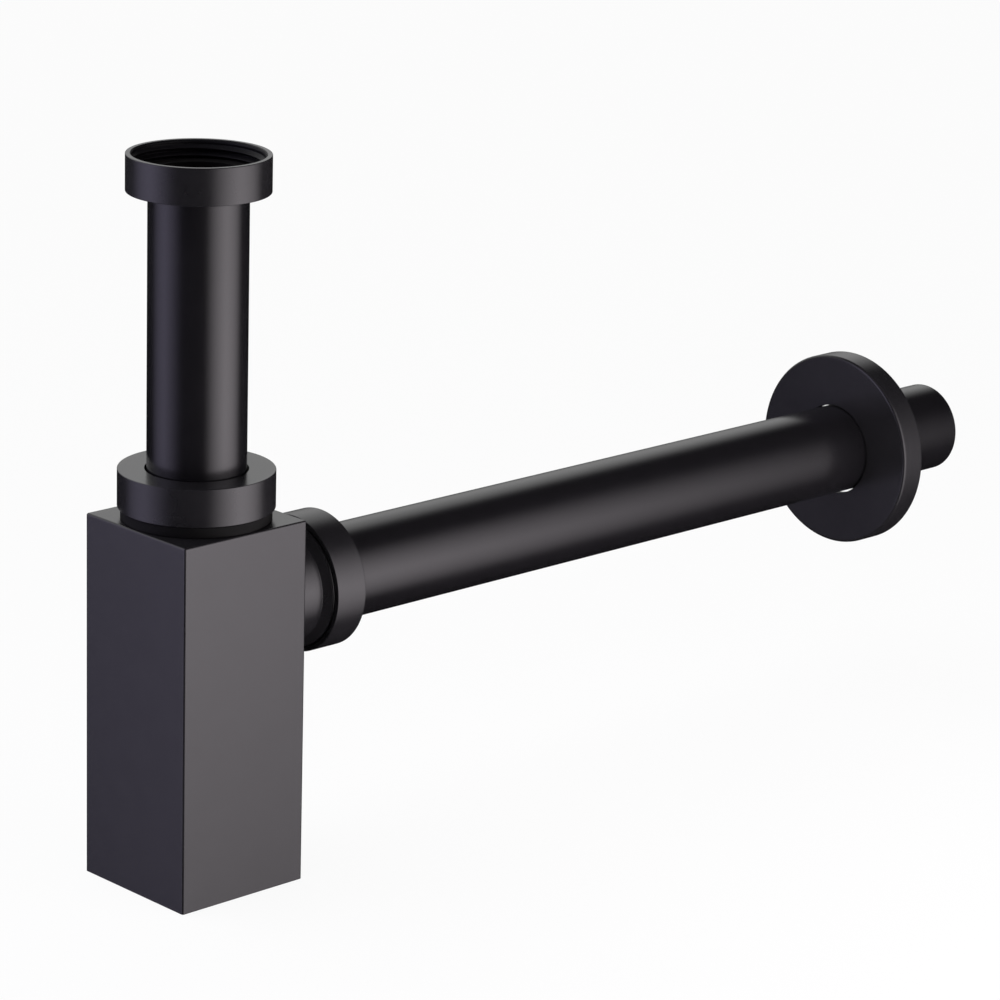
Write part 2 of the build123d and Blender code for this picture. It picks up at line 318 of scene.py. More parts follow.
def turned_piece(name, profile, along, centre, segments, thread=None):
    """Mesh object of a closed profile carried round an axis.

    A profile point (r, h) at the angle t lies at (r cos t, r sin t, h), and the loop runs counterclockwise.
    """
    following = np.roll(profile, -1, axis=0)
    if np.sum(profile[:, 0] * following[:, 1] - following[:, 0] * profile[:, 1]) < 0.0:
        profile = profile[::-1]
    angle = np.linspace(0.0, FULL_TURN, segments, endpoint=False)[:, None]
    radius = np.broadcast_to(profile[None, :, 0], (segments, len(profile)))
    height = np.broadcast_to(profile[None, :, 1], radius.shape)
    if thread:
        radius = thread.cut(radius, height, angle)
    across = radius * np.cos(angle)
    up = radius * np.sin(angle)
    order = (across, up, height) if along == "Z" else (height, across, up)
    points = np.stack(order, axis=-1) + np.asarray(centre)
    return grid_object(name, points)


def new_object(name, data):
    """Object of the given mesh, light or camera, linked to the scene."""
    made = bpy.data.objects.new(name, data)
    bpy.context.scene.collection.objects.link(made)
    return made


def grid_object(name, points):
    """Mesh object of a grid of points that closes on itself both ways, smooth and facing outwards."""
    rows, columns = points.shape[:2]
    here = np.arange(rows * columns).reshape(rows, columns)
    right = np.roll(here, -1, axis=0)
    faces = np.stack([here, right, np.roll(right, -1, axis=1), np.roll(here, -1, axis=1)], axis=-1)
    mesh = bpy.data.meshes.new(name)
    mesh.from_pydata(points.reshape(-1, 3), [], faces.reshape(-1, 4))
    mesh.polygons.foreach_set("use_smooth", np.ones(rows * columns, bool))
    mesh.update()
    return new_object(name, mesh)


def single_face(name, corners):
    """Object of one flat face."""
    mesh = bpy.data.meshes.new(name)
    mesh.from_pydata(corners, [], [tuple(range(len(corners)))])
    return new_object(name, mesh)


def square_outline(half, corner, steps=6, flats=20):
    """Rounded squares round the origin, one for each half side, counterclockwise from the middle of +X.

    A quarter goes half a side up to a guard point near the corner, round it by corner * (cos, sin), and on
    along half of the next side. The other quarters are the first one turned.
    """
    straight = half - corner
    up = np.linspace(0.0, 1.0, flats)[:, None] * (straight - GUARD)
    down = up[:0:-1]
    turn = np.linspace(0.0, RIGHT_ANGLE, steps + 1)[:, None]
    east = np.concatenate([np.broadcast_to(half, up.shape), straight + corner * np.cos(turn), down])
    north = np.concatenate([up, straight + corner * np.sin(turn), np.broadcast_to(half, down.shape)])
    return np.concatenate([east, -north, -east, north]), np.concatenate([north, east, -north, -east])


def take_away(context, piece, cutter):
    """Take a closed cutter, a bmesh shape, out of a piece, and keep the edges that it leaves sharp."""
    mesh = bpy.data.meshes.new("cutter")
    cutter.to_mesh(mesh)
    cutter.free()
    tool = new_object("cutter", mesh)
    cut = piece.modifiers.new("cut", "BOOLEAN")
    cut.operation = "DIFFERENCE"
    cut.solver = "EXACT"
    cut.object = tool
    left = bpy.data.meshes.new_from_object(piece.evaluated_get(context.evaluated_depsgraph_get()))
    left.set_sharp_from_angle(angle=SHARP_ANGLE)
    piece.modifiers.clear()
    piece.data = left
    bpy.data.objects.remove(tool)


# ---------------------------------------------------------------- from the frame's nodes to finished pieces


class Round:
    """Radius, ends and axis of a round CAD node, read from its box."""

    def __init__(self, node):
        self.node = node
        low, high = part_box(node)
        self.along = "X" if node.startswith("outlet") or node == "wall_flange" else "Z"
        if self.along == "X":
            self.start, self.end = low.x, high.x
            self.radius = 0.5 * (high.z - low.z)
            self.centre = (0.0, 0.0, 0.5 * (high.z + low.z))
        else:
            self.start, self.end = low.z, high.z
            self.radius = 0.5 * (high.x - low.x)
            self.centre = (0.0, 0.0, 0.0)

    def section(self, bore):
        """Corners of a plain ring's profile, from the given bore to the node's radius."""
        return [(bore, self.start), (self.radius, self.start), (self.radius, self.end), (bore, self.end)]


def body_of(node):
    """Name of the CAD body that a node belongs to."""
    bodies = frame["record"]["behaviour"]["bodies"]
    return next(body for body, members in bodies.items() if node in members)


def slot_of(node):
    """Name of the record's material slot that a node takes."""
    return next(part["material_slot"] for part in frame["record"]["subparts"] if part["node"] == node)


def finish_piece(shape, corners, radii, thread=None):
    """Turn a node's profile into the piece that stands for it, in its finish and on its body."""
    sizes = bpy.context.scene.trap_pieces
    profile = rounded_loop(corners, radii)
    if thread:
        profile = divided(profile, thread.radius, thread.pitch / bpy.context.scene.trap_threads.rows)
    piece = turned_piece(finished(shape.node), profile, shape.along, shape.centre, sizes.segments, thread)
    dress(piece, shape.node)
    return piece


def finished(node):
    """Name of the piece that stands for a node."""
    return f"{node}_finished"


def dress(piece, node):
    """Give a piece the finish of its node's slot, put it on the node's body and hide the node."""
    piece.data.materials.append(finish_of(node))
    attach(piece, body_of(node))
    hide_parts(node)
    slot_of(node)


def finish_cad_node(node):
    """Give a CAD node that stays as it is the finish of its slot."""
    for holder in frame["nodes"][node].material_slots:
        holder.material = finish_of(node)


# ---------------------------------------------------------------- finishes


class Signal:
    """A shader socket whose arithmetic adds nodes: Math for values, Vector Math for vectors and colours."""

    def __init__(self, tree, socket):
        self.tree = tree
        self.socket = socket

    def joined(self, operation, *values):
        """Node that joins values by an operation."""
        as_vector = any(
            value.socket.type != "VALUE" if isinstance(value, Signal) else isinstance(value, tuple)
            for value in values
        )
        kind = "ShaderNodeVectorMath" if as_vector else "ShaderNodeMath"
        return add_node(self.tree, kind, {"operation": operation}, dict(enumerate(values)))

    def __add__(self, other):
        return self.joined("ADD", self, other)

    def __radd__(self, other):
        return self.joined("ADD", other, self)

    def __mul__(self, other):
        return self.joined("MULTIPLY", self, other)

    def __rmul__(self, other):
        return self.joined("MULTIPLY", other, self)


def add_node(tree, kind, settings=None, inputs=None, output=0):
    """Signal of a new node, whose settings are made first and then its inputs set or linked."""
    node = tree.nodes.new(kind)
    for name, value in (settings or {}).items():
        setattr(node, name, value)
    for name, value in (inputs or {}).items():
        socket = node.inputs[name]
        if isinstance(value, Signal):
            tree.links.new(value.socket, socket)
        elif socket.type == "RGBA" and len(value) == 3:
            socket.default_value = (*value, 1.0)
        elif socket.type == "VECTOR" and isinstance(value, (int, float)):
            socket.default_value = (value, value, value)
        else:
            socket.default_value = value
    return Signal(tree, node.outputs[output])


def emptied(owner):
    """Node tree of a new material or world, with nothing in it yet."""
    owner.use_nodes = True
    owner.node_tree.nodes.clear()
    return owner.node_tree


def show(tree, surface, kind="Material"):
    """End a material's or world's tree with the output node that shows the surface."""
    node = tree.nodes.new(f"ShaderNodeOutput{kind}")
    tree.links.new(surface.socket, node.inputs["Surface"])


def noise(tree, where, feature, detail=2.0):
    """Noise from 0 to 1 whose features are about the given length across."""
    return add_node(
        tree, "ShaderNodeTexNoise", None, {"Vector": where, "Scale": 1.0 / feature, "Detail": detail}
    )


def eased(tree, value, low, high, at_low=0.0, at_high=1.0):
    """Smooth step of a value from at_low to at_high."""
    return add_node(
        tree,
        "ShaderNodeMapRange",
        {"interpolation_type": "SMOOTHSTEP"},
        {"Value": value, "From Min": low, "From Max": high, "To Min": at_low, "To Max": at_high},
    )


def bumped(tree, height, distance):
    """Normal of a surface raised by the given distance where the height is 1."""
    return add_node(tree, "ShaderNodeBump", None, {"Height": height, "Distance": distance, "Strength": 1.0})


def varied(base, spread, signal):
    """A base value to which a signal from 0 to 1 adds up to the spread."""
    return base + spread * signal


def lacquer(tree, where, look, tint, roughness):
    """Black lacquer on brass: faint orange peel, and a gloss that drifts a little over the surface."""
    peel = noise(tree, where, look.peel_size)
    grain = noise(tree, where, feature=0.12 * MM)
    drift = noise(tree, where, feature=22.0 * MM)
    tone = varied(0.8, 0.4, noise(tree, where, feature=9.0 * MM, detail=4.0))
    return {
        "Base Color": tuple(tint) * tone,
        "Roughness": varied(roughness - 0.03, 0.06, drift),
        "Normal": bumped(tree, varied(peel, 0.12, grain), look.peel_height),
    }


def gloss_lacquer(tree, where, look):
    """Lacquer over the smooth drawn tubes."""
    return lacquer(tree, where, look, look.gloss_lacquer, look.gloss)


def satin_lacquer(tree, where, look):
    """Lacquer over turned and pressed pieces, whose tool marks take some of its gloss."""
    return lacquer(tree, where, look, look.satin_lacquer, look.satin)


def thread_coat_painted_shade(tree, where, look):
    """Dull coat on the cut thread inside a nut, whose darker tint is painted shade for the recess of the
    nut's mouth.
    """
    surface = lacquer(tree, where, look, look.thread_coat_painted_shade, look.thread_roughness)
    surface["Specular IOR Level"] = DULL
    return surface


def turned_brass(tree, where, look):
    """Bare turned brass: tool lines across the axis, and a light tarnish."""
    round_the_axis = (0.02, 0.02, 1.0)
    stretched = add_node(tree, "ShaderNodeMapping", None, {"Vector": where, "Scale": round_the_axis})
    lines = noise(tree, stretched, feature=0.15 * MM, detail=1.0)
    tarnish = noise(tree, where, feature=6.0 * MM, detail=4.0)
    return {
        "Base Color": tuple(look.brass) * varied(0.72, 0.4, tarnish),
        "Roughness": varied(varied(look.brass_roughness - 0.08, 0.1, tarnish), 0.08, lines),
        "Metallic": 1.0,
        "Normal": bumped(tree, lines, 0.004 * MM),
    }


def moulded_rubber(tree, where, look):
    """Moulded black rubber: a fine matt grain with a dusty bloom."""
    bloom = noise(tree, where, feature=3.0 * MM, detail=4.0)
    grain = noise(tree, where, feature=0.2 * MM)
    return {
        "Base Color": tuple(look.rubber) * varied(0.8, 0.5, bloom),
        "Roughness": varied(look.rubber_roughness - 0.05, 0.15, bloom),
        "Specular IOR Level": DULL,
        "Normal": bumped(tree, grain, 0.01 * MM),
    }


def natural_nylon(tree, where, look):
    """Natural nylon: milky, with a slightly wavy moulded skin."""
    cloud = noise(tree, where, feature=4.0 * MM, detail=3.0)
    skin = noise(tree, where, feature=0.6 * MM)
    return {
        "Base Color": tuple(look.nylon) * varied(0.93, 0.1, cloud),
        "Roughness": varied(look.nylon_roughness - 0.04, 0.1, cloud),
        "Normal": bumped(tree, skin, 0.006 * MM),
    }


FINISHES = {
    "black_finish": satin_lacquer,
    "black_finish_tube": gloss_lacquer,
    # The thread coat's darker tint is painted shade inside a nut's mouth.
    "black_finish_thread": thread_coat_painted_shade,
    "plain_brass": turned_brass,
    "rubber": moulded_rubber,
    "nylon": natural_nylon,
}
TUBE_NODES = ("inlet_pipe", "outlet_pipe", "outlet_stub")


def finish_of(node):
    """The material of a node's slot and make."""
    return material_of(slot_of(node) + ("_tube" if node in TUBE_NODES else ""))


def material_of(finish):
    """The material of a finish, wired the first time that it is asked for."""
    name = f"{finish}_surface"
    if name in bpy.data.materials:
        return bpy.data.materials[name]
    material = bpy.data.materials.new(name)
    tree = emptied(material)
    where = add_node(tree, "ShaderNodeTexCoord", output="Object")
    surface = FINISHES[finish](tree, where, bpy.context.scene.trap_finishes)
    show(tree, add_node(tree, "ShaderNodeBsdfPrincipled", None, surface))
    return material


def coat(piece, name):
    """Empty node tree of a new material on a stage piece."""
    material = bpy.data.materials.new(name)
    piece.data.materials.append(material)
    return emptied(material)


# ---------------------------------------------------------------- operators, one for each kind of piece


class TrapOperator:
    """What every operator of the trap shares."""

    bl_options = {"REGISTER", "UNDO"}


class TRAP_OT_box(TrapOperator, bpy.types.Operator):
    """Press the square box with its soft edges, and finish its base plate, whose CAD shape is kept"""

    bl_idname = "trap.box"
    bl_label = "Square box"

    def execute(self, context):
        sizes = context.scene.trap_pieces
        piece = self.shell(sizes)
        self.drill(context, sizes, piece)
        finish_cad_node("base_plate")
        return {"FINISHED"}

    def shell(self, sizes):
        """The wall's profile carried round a square, or round a circle at the neck's hole."""
        low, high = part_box("body_shell")
        half = high.x
        inside = half - sizes.box_wall
        hole = Round("dip_tube").radius + sizes.neck_spigot_wall
        corners = [
            (half, low.z),
            (half, high.z),
            (hole, high.z),
            (hole, high.z - sizes.box_wall),
            (inside, high.z - sizes.box_wall),
            (inside, low.z),
        ]
        fine = sizes.fine_round
        crease = 0.2 * fine
        profile = rounded_loop(corners, [fine, sizes.box_edge, fine, fine, crease, fine])
        reach = profile[:, 0]
        east, north = square_outline(reach, np.maximum(sizes.box_edge - (half - reach), crease))
        turn = np.linspace(0.0, FULL_TURN, len(east), endpoint=False)[:, None]
        # What is nearer to the neck's hole than to the wall goes round a circle.
        square = reach > 0.5 * (hole + inside)
        x = np.where(square, east, reach * np.cos(turn))
        y = np.where(square, north, reach * np.sin(turn))
        z = np.broadcast_to(profile[:, 1], x.shape)
        piece = grid_object(finished("body_shell"), np.stack([x, y, z], axis=-1))
        dress(piece, "body_shell")
        return piece

    def drill(self, context, sizes, piece):
        """Drill the side for the outlet stub, with a drill that stands out of the wall both ways."""
        stub = Round("outlet_stub")
        side = Matrix.Translation((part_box("body_shell")[1].x, 0.0, stub.centre[2]))
        bit = bmesh.new()
        bmesh.ops.create_cone(
            bit,
            cap_ends=True,
            segments=sizes.segments,
            radius1=stub.radius,
            radius2=stub.radius,
            depth=4.0 * sizes.box_wall,
            matrix=side @ Matrix.Rotation(RIGHT_ANGLE, 4, "Y"),
        )
        take_away(context, piece, bit)


class TRAP_OT_tubes(TrapOperator, bpy.types.Operator):
    """Draw the inlet and outlet pipes with their rolled flanges, the outlet stub and the dip tube"""

    bl_idname = "trap.tubes"
    bl_label = "Tubes"

    def flanged(self, sizes, shape, plain_end, flange_end):
        """A tube with a rolled flange at one end and a rounded cut at the other."""
        way = math.copysign(1.0, plain_end - flange_end)
        tube = Round("outlet_stub").radius
        bore = tube - sizes.tube_wall
        behind = flange_end + way * sizes.flange_thickness
        corners = [
            (bore, flange_end),
            (shape.radius, flange_end),
            (shape.radius, behind),
            (tube, behind),
            (tube, plain_end),
            (bore, plain_end),
        ]
        edge = sizes.tube_round
        finish_piece(shape, corners, [2.0 * edge, edge, edge, sizes.flange_fillet, edge, 0.5 * edge])

    def plain(self, sizes, shape, wall):
        """A plain tube with both ends cut square."""
        finish_piece(shape, shape.section(shape.radius - wall), 2.0 * sizes.fine_round)

    def execute(self, context):
        sizes = context.scene.trap_pieces
        inlet = Round("inlet_pipe")
        self.flanged(sizes, inlet, plain_end=inlet.start, flange_end=inlet.end)
        outlet = Round("outlet_pipe")
        self.flanged(sizes, outlet, plain_end=outlet.end, flange_end=outlet.start)
        self.plain(sizes, Round("outlet_stub"), sizes.tube_wall)
        self.plain(sizes, Round("dip_tube"), sizes.dip_wall)
        return {"FINISHED"}


class TRAP_OT_nuts(TrapOperator, bpy.types.Operator):
    """Turn the three round nuts, each with a thread in its mouth and a relief groove behind it"""

    bl_idname = "trap.nuts"
    bl_label = "Nuts"

    def nut(self, context, node, mouth_low, wall, floor, hole_gap, seat):
        """A nut whose thread runs from its mouth to the given seat."""
        sizes = context.scene.trap_pieces
        threads = context.scene.trap_threads
        nut = Round(node)
        mouth, back = (nut.start, nut.end) if mouth_low else (nut.end, nut.start)
        way = 1.0 if mouth_low else -1.0
        bore = nut.radius - wall
        relief = bore + threads.relief
        hole = Round("outlet_stub").radius + hole_gap
        inner = back - way * floor
        corners = [
            (hole, back),
            (nut.radius, back),
            (nut.radius, mouth),
            (bore + sizes.mouth, mouth),
            (bore, mouth + way * sizes.mouth),
            (bore, seat),
            (relief, seat),
            (relief, inner),
            (hole, inner),
        ]
        fine = sizes.fine_round
        edge = sizes.nut_round
        soft = 1.5 * fine
        groove = 0.4 * fine
        start = mouth + way * NUT_START * sizes.mouth
        thread = Thread(bore, start, threads.pitch, threads.depth, NUT_RAMP, inside=True, way=way)
        radii = [soft, edge, edge, fine, fine, groove, groove, soft, fine]
        piece = finish_piece(nut, corners, radii, thread)
        self.coat_thread_painted_shade(piece, nut, relief + fine, sorted((mouth + way * fine, inner)))

    def coat_thread_painted_shade(self, piece, nut, reach, ends):
        """Give the faces within the reach of the axis, between the two ends, the dull thread coat, whose
        darker tint paints shade into the nut's mouth.
        """
        piece.data.materials.append(material_of("black_finish_thread"))
        centres = np.empty(3 * len(piece.data.polygons))
        piece.data.polygons.foreach_get("center", centres)
        centres = centres.reshape(-1, 3)
        along = "XYZ".index(nut.along)
        across = np.delete(centres - nut.centre, along, axis=1)
        height = centres[:, along]
        # The faces inside the nut's mouth take the darker coat, painted shade for the recess.
        inside = (np.linalg.norm(across, axis=1) < reach) & (height > ends[0]) & (height < ends[1])
        piece.data.polygons.foreach_set("material_index", inside.astype(np.int32))

    def execute(self, context):
        sizes = context.scene.trap_pieces
        union = (sizes.union_nut_wall, sizes.union_nut_floor, sizes.union_nut_hole)
        self.nut(context, "inlet_nut", False, *union, seat=Round("inlet_washer").end)
        self.nut(context, "outlet_nut", True, *union, seat=Round("outlet_washer").start)
        neck = (sizes.neck_nut_wall, sizes.neck_nut_floor, sizes.neck_nut_hole)
        self.nut(context, "body_nut", True, *neck, seat=Round("neck_collar").end)
        return {"FINISHED"}


class TRAP_OT_collars(TrapOperator, bpy.types.Operator):
    """Turn the threaded collars on the box's neck and on the outlet stub"""

    bl_idname = "trap.collars"
    bl_label = "Threaded collars"

    def execute(self, context):
        sizes = context.scene.trap_pieces
        threads = context.scene.trap_threads
        self.neck(sizes, threads)
        self.outlet(sizes, threads)
        return {"FINISHED"}

    def neck(self, sizes, threads):
        """The neck collar: spigot, thread over the gasket, and the seal's cone seat in its mouth."""
        collar = Round("neck_collar")
        seal = Round("body_seal")
        foot = Round("neck_gasket").end
        dip = Round("dip_tube").radius
        spigot = dip + sizes.neck_spigot_wall
        seat = seal.radius + sizes.seal_seat
        tip = Round("outlet_stub").radius + sizes.seal_tip + sizes.seal_seat
        corners = [
            (dip, collar.start),
            (spigot, collar.start),
            (spigot, foot),
            (collar.radius, foot),
            (collar.radius, collar.end - sizes.lead),
            (collar.radius - sizes.lead, collar.end),
            (seat, collar.end),
            (seat, seal.start + sizes.seal_cone),
            (tip, seal.start),
            (dip, seal.start),
        ]
        start = foot + sizes.neck_land
        thread = Thread(collar.radius, start, threads.pitch, threads.depth, COLLAR_RAMP)
        finish_piece(collar, corners, sizes.fine_round, thread)

    def outlet(self, sizes, threads):
        """The outlet collar: braze fillet at the box, plain hub, sloping shoulder and threaded end."""
        collar = Round("outlet_collar")
        tube = Round("outlet_stub").radius
        hub = tube + sizes.hub_step
        sunk = collar.start - 0.5 * sizes.braze_fillet
        rim = hub + sizes.braze_fillet
        thread_start = collar.end - sizes.hub_thread
        corners = [
            (tube, sunk),
            (rim, sunk),
            (rim, collar.start),
            (hub, collar.start),
            (hub, thread_start - sizes.hub_shoulder),
            (collar.radius, thread_start),
            (collar.radius, collar.end - sizes.lead),
            (collar.radius - sizes.lead, collar.end),
            (tube, collar.end),
        ]
        # The fillet fills its step but for a trace, and the corners at its foot stay nearly sharp.
        fine = sizes.fine_round
        fillet = 0.95 * sizes.braze_fillet
        radii = [fine, 0.5 * fine, 0.1 * fine, fillet, 2.0 * fine, fine, fine, fine, fine]
        thread = Thread(collar.radius, thread_start, threads.pitch, threads.depth, COLLAR_RAMP)
        finish_piece(collar, corners, radii, thread)


class TRAP_OT_seals(TrapOperator, bpy.types.Operator):
    """Mould the rubber cone, the flat washers, the gaskets and the slip and thrust rings"""

    bl_idname = "trap.seals"
    bl_label = "Seals and rings"

    def execute(self, context):
        sizes = context.scene.trap_pieces
        tube = Round("outlet_stub").radius
        plug_thread = Round("cleanout_gasket").radius - sizes.plug_step
        bores = {
            "neck_gasket": Round("dip_tube").radius + sizes.neck_spigot_wall + sizes.gasket_gap,
            "inlet_washer": tube - sizes.tube_wall,
            "outlet_washer": tube - sizes.tube_wall,
            "inlet_slip_ring": tube + sizes.running_gap,
            "outlet_slip_ring": tube + sizes.running_gap,
            "body_slip_ring": tube + sizes.ring_gap,
            "cleanout_gasket": plug_thread + context.scene.trap_threads.clearance,
        }
        for node, bore in bores.items():
            ring = Round(node)
            edge = sizes.gasket_edge if node == "neck_gasket" else 1.5 * sizes.fine_round
            finish_piece(ring, ring.section(bore), edge)
        self.cone(sizes, tube)
        return {"FINISHED"}

    def cone(self, sizes, tube):
        """The rubber cone that grips the inlet pipe."""
        seal = Round("body_seal")
        bore = tube + sizes.running_gap
        corners = [
            (bore, seal.start),
            (tube + sizes.seal_tip, seal.start),
            (seal.radius, seal.start + sizes.seal_cone),
            (seal.radius, seal.end),
            (bore, seal.end),
        ]
        finish_piece(seal, corners, 2.0 * sizes.fine_round)


class TRAP_OT_wall_flange(TrapOperator, bpy.types.Operator):
    """Spin the round wall flange, a shallow dish with a short lip round the pipe"""

    bl_idname = "trap.wall_flange"
    bl_label = "Wall flange"

    def execute(self, context):
        sizes = context.scene.trap_pieces
        cover = Round("wall_flange")
        hole = Round("outlet_stub").radius + sizes.cover_hole
        lip = hole + sizes.cover_lip
        inside = cover.radius - sizes.cover_wall
        floor = cover.start + sizes.cover_wall
        lip_end = cover.start + sizes.cover_lip_length
        corners = [
            (hole, cover.start),
            (cover.radius, cover.start),
            (cover.radius, cover.end),
            (inside, cover.end),
            (inside, floor),
            (lip, floor),
            (lip, lip_end),
            (hole, lip_end),
        ]
        fine = sizes.fine_round
        edge = sizes.cover_edge
        radii = [1.5 * fine, edge, 2.0 * fine, 2.0 * fine, 5.0 * fine, 4.0 * fine, 2.0 * fine, fine]
        finish_piece(cover, corners, radii)
        return {"FINISHED"}


class TRAP_OT_cleanout(TrapOperator, bpy.types.Operator):
    """Turn the clean-out bush and the plug, cut their threads and mill the plug's coin slot"""

    bl_idname = "trap.cleanout"
    bl_label = "Clean-out"

    def execute(self, context):
        sizes = context.scene.trap_pieces
        threads = context.scene.trap_threads
        gasket = Round("cleanout_gasket")
        self.bush(sizes, threads, gasket)
        piece = self.plug(sizes, threads, gasket)
        self.mill_slot(context, sizes, piece)
        return {"FINISHED"}

    def bush(self, sizes, threads, gasket):
        """The bush, with a recess for the plug's head under its thread."""
        bush = Round("cleanout_bush")
        recess = bush.radius - sizes.bush_wall
        bore = gasket.radius - sizes.plug_step + threads.clearance
        corners = [
            (recess, bush.start),
            (bush.radius, bush.start),
            (bush.radius, bush.end),
            (bore, bush.end),
            (bore, gasket.end),
            (recess, gasket.end),
        ]
        start = gasket.end + sizes.nut_round
        thread = Thread(bore, start, threads.plug_pitch, threads.plug_depth, inside=True)
        finish_piece(bush, corners, 1.5 * sizes.fine_round, thread)

    def plug(self, sizes, threads, gasket):
        """The plug: a head, a thread and a shank that is hollow from above."""
        plug = Round("cleanout_plug")
        radius = plug.radius - sizes.plug_step
        hollow = radius - sizes.plug_wall
        roof = plug.start + sizes.slot_depth + sizes.plug_roof
        corners = [
            (0.0, plug.start),
            (plug.radius, plug.start),
            (plug.radius, gasket.start),
            (radius, gasket.start),
            (radius, plug.end - sizes.lead),
            (radius - sizes.lead, plug.end),
            (hollow, plug.end),
            (hollow, roof),
            (0.0, roof),
        ]
        fine = sizes.fine_round
        radii = [0.0, sizes.nut_round, fine, fine, fine, fine, fine, 5.0 * fine, 0.0]
        thread = Thread(radius, gasket.end, threads.plug_pitch, threads.plug_depth)
        return finish_piece(plug, corners, radii, thread)

    def mill_slot(self, context, sizes, piece):
        """Close the plug's poles by merging their points, then mill the slot across its head.

        The mill is centred on the head's face, so half of its height goes into the head.
        """
        shape = bmesh.new()
        shape.from_mesh(piece.data)
        bmesh.ops.remove_doubles(shape, verts=shape.verts, dist=WELD)
        shape.to_mesh(piece.data)
        shape.free()
        plug = Round("cleanout_plug")
        head = Matrix.Translation((0.0, 0.0, plug.start))
        size = (2.0 * (plug.radius - sizes.slot_end), sizes.slot_width, 2.0 * sizes.slot_depth, 1.0)
        mill = bmesh.new()
        bmesh.ops.create_cube(mill, size=1.0, matrix=head @ Matrix.Diagonal(size))
        take_away(context, piece, mill)


class TRAP_OT_studio(TrapOperator, bpy.types.Operator):
    """Set the floor, the backdrop and lights, and the camera"""

    bl_idname = "trap.studio"
    bl_label = "Studio"

    def execute(self, context):
        studio = context.scene.trap_studio
        self.floor(studio)
        self.surroundings(context, studio)
        for panel in PANELS:
            self.soft_panel(panel, getattr(studio, panel.light))
        self.top_light(studio)
        self.camera(context, studio)
        context.scene.view_settings.view_transform = "Standard"
        return {"FINISHED"}

    def floor(self, studio):
        """A wide pale floor, which the camera sees nearly white but for the object's shadow."""
        far = FLOOR_REACH
        level = cad_bounds[0].z
        corners = [(-far, -far, level), (far, -far, level), (far, far, level), (-far, far, level)]
        floor = single_face("floor", corners)
        tree = coat(floor, "pale_floor")
        to_camera = add_node(tree, "ShaderNodeLightPath", output="Is Camera Ray")
        plain = add_node(tree, "ShaderNodeBsdfDiffuse", None, {"Color": tuple(studio.floor)})
        white = add_node(tree, "ShaderNodeEmission", None, {"Strength": 1.0})
        glow = to_camera * studio.floor_glow
        show(tree, add_node(tree, "ShaderNodeMixShader", None, {0: glow, 1: plain, 2: white}))
        floor.visible_glossy = False
        floor.visible_shadow = False

    def surroundings(self, context, studio):
        """A dark room with a white backdrop behind the object, all white to the camera."""
        world = bpy.data.worlds.new("studio")
        context.scene.world = world
        tree = emptied(world)
        way = add_node(tree, "ShaderNodeTexCoord", output="Generated")
        height = add_node(tree, "ShaderNodeSeparateXYZ", None, {"Vector": way}, output="Z")
        behind = towards(tree, way, BACKDROP_AZIMUTH)
        beside = towards(tree, way, BACKDROP_AZIMUTH - 90.0)
        band = eased(tree, height, *BACKDROP_FOOT) * eased(tree, height, *BACKDROP_TOP, 1.0, 0.0)
        patch = band * eased(tree, behind, *BACKDROP_DEPTH) * eased(tree, beside, *BACKDROP_SIDE, 1.0, 0.0)
        room = patch * studio.backdrop + studio.room
        seen = add_node(tree, "ShaderNodeLightPath", output="Is Camera Ray")
        lit = add_node(tree, "ShaderNodeMix", {"data_type": "FLOAT"}, {0: seen, 2: room, 3: 1.0})
        white = (1.0, 1.0, 1.0)
        glow = add_node(tree, "ShaderNodeBackground", None, {"Color": white, "Strength": lit})
        show(tree, glow, "World")

    def soft_panel(self, panel, radiance):
        """A soft panel that faces the inlet axis and that only the object's reflections and shading see.

        Its radiance eases to nothing over a soft border: window(|x|) times window(|z|) in its own frame.
        """
        wide, high = (half + soft for half, soft in zip(panel.half, panel.soft))
        corners = [(-wide, 0.0, -high), (wide, 0.0, -high), (wide, 0.0, high), (-wide, 0.0, high)]
        screen = single_face(panel.light, corners)
        east, north, _ = aimed(panel.azimuth)
        screen.location = (panel.distance * east, panel.distance * north, panel.height)
        screen.rotation_euler = (0.0, 0.0, math.radians(panel.azimuth + 90.0))
        tree = coat(screen, f"{panel.light}_glow")
        where = add_node(tree, "ShaderNodeTexCoord", output="Object")
        strength = 1.0
        for axis, half, soft in zip("XZ", panel.half, panel.soft):
            offset = add_node(tree, "ShaderNodeSeparateXYZ", None, {"Vector": where}, output=axis)
            reach = offset.joined("ABSOLUTE", offset)
            strength = eased(tree, reach, half - soft, half + soft, 1.0, 0.0) * strength
        glow = add_node(tree, "ShaderNodeEmission", None, {"Color": tuple(radiance), "Strength": strength})
        clear = add_node(tree, "ShaderNodeBsdfTransparent")
        show(tree, add_node(tree, "ShaderNodeAddShader", None, {0: glow, 1: clear}))
        screen.visible_camera = False
        screen.visible_shadow = False

    def top_light(self, studio):
        """A wide soft light from above, kept out of the lacquer's reflections."""
        data = bpy.data.lights.new("top_light", "SUN")
        data.energy = studio.sun
        data.angle = TOP_LIGHT_SPREAD
        lamp = new_object("top_light", data)
        lamp.rotation_euler = TOP_LIGHT_TILT
        lamp.visible_glossy = False

    def camera(self, context, studio):
        """A long lens a little above the object, looking along the outlet from the left."""
        data = bpy.data.cameras.new("camera")
        data.lens = studio.lens
        data.sensor_width = SENSOR
        camera = new_object("camera", data)
        view = (Vector(studio.aim) - Vector(studio.eye)).to_track_quat("-Z", "Y").to_matrix().to_4x4()
        camera.matrix_world = Matrix.Translation(studio.eye) @ view @ Matrix.Rotation(studio.roll, 4, "Z")
        context.scene.camera = camera


def aimed(azimuth):
    """Level unit vector at an azimuth in degrees."""
    turn = math.radians(azimuth)
    return (math.cos(turn), math.sin(turn), 0.0)


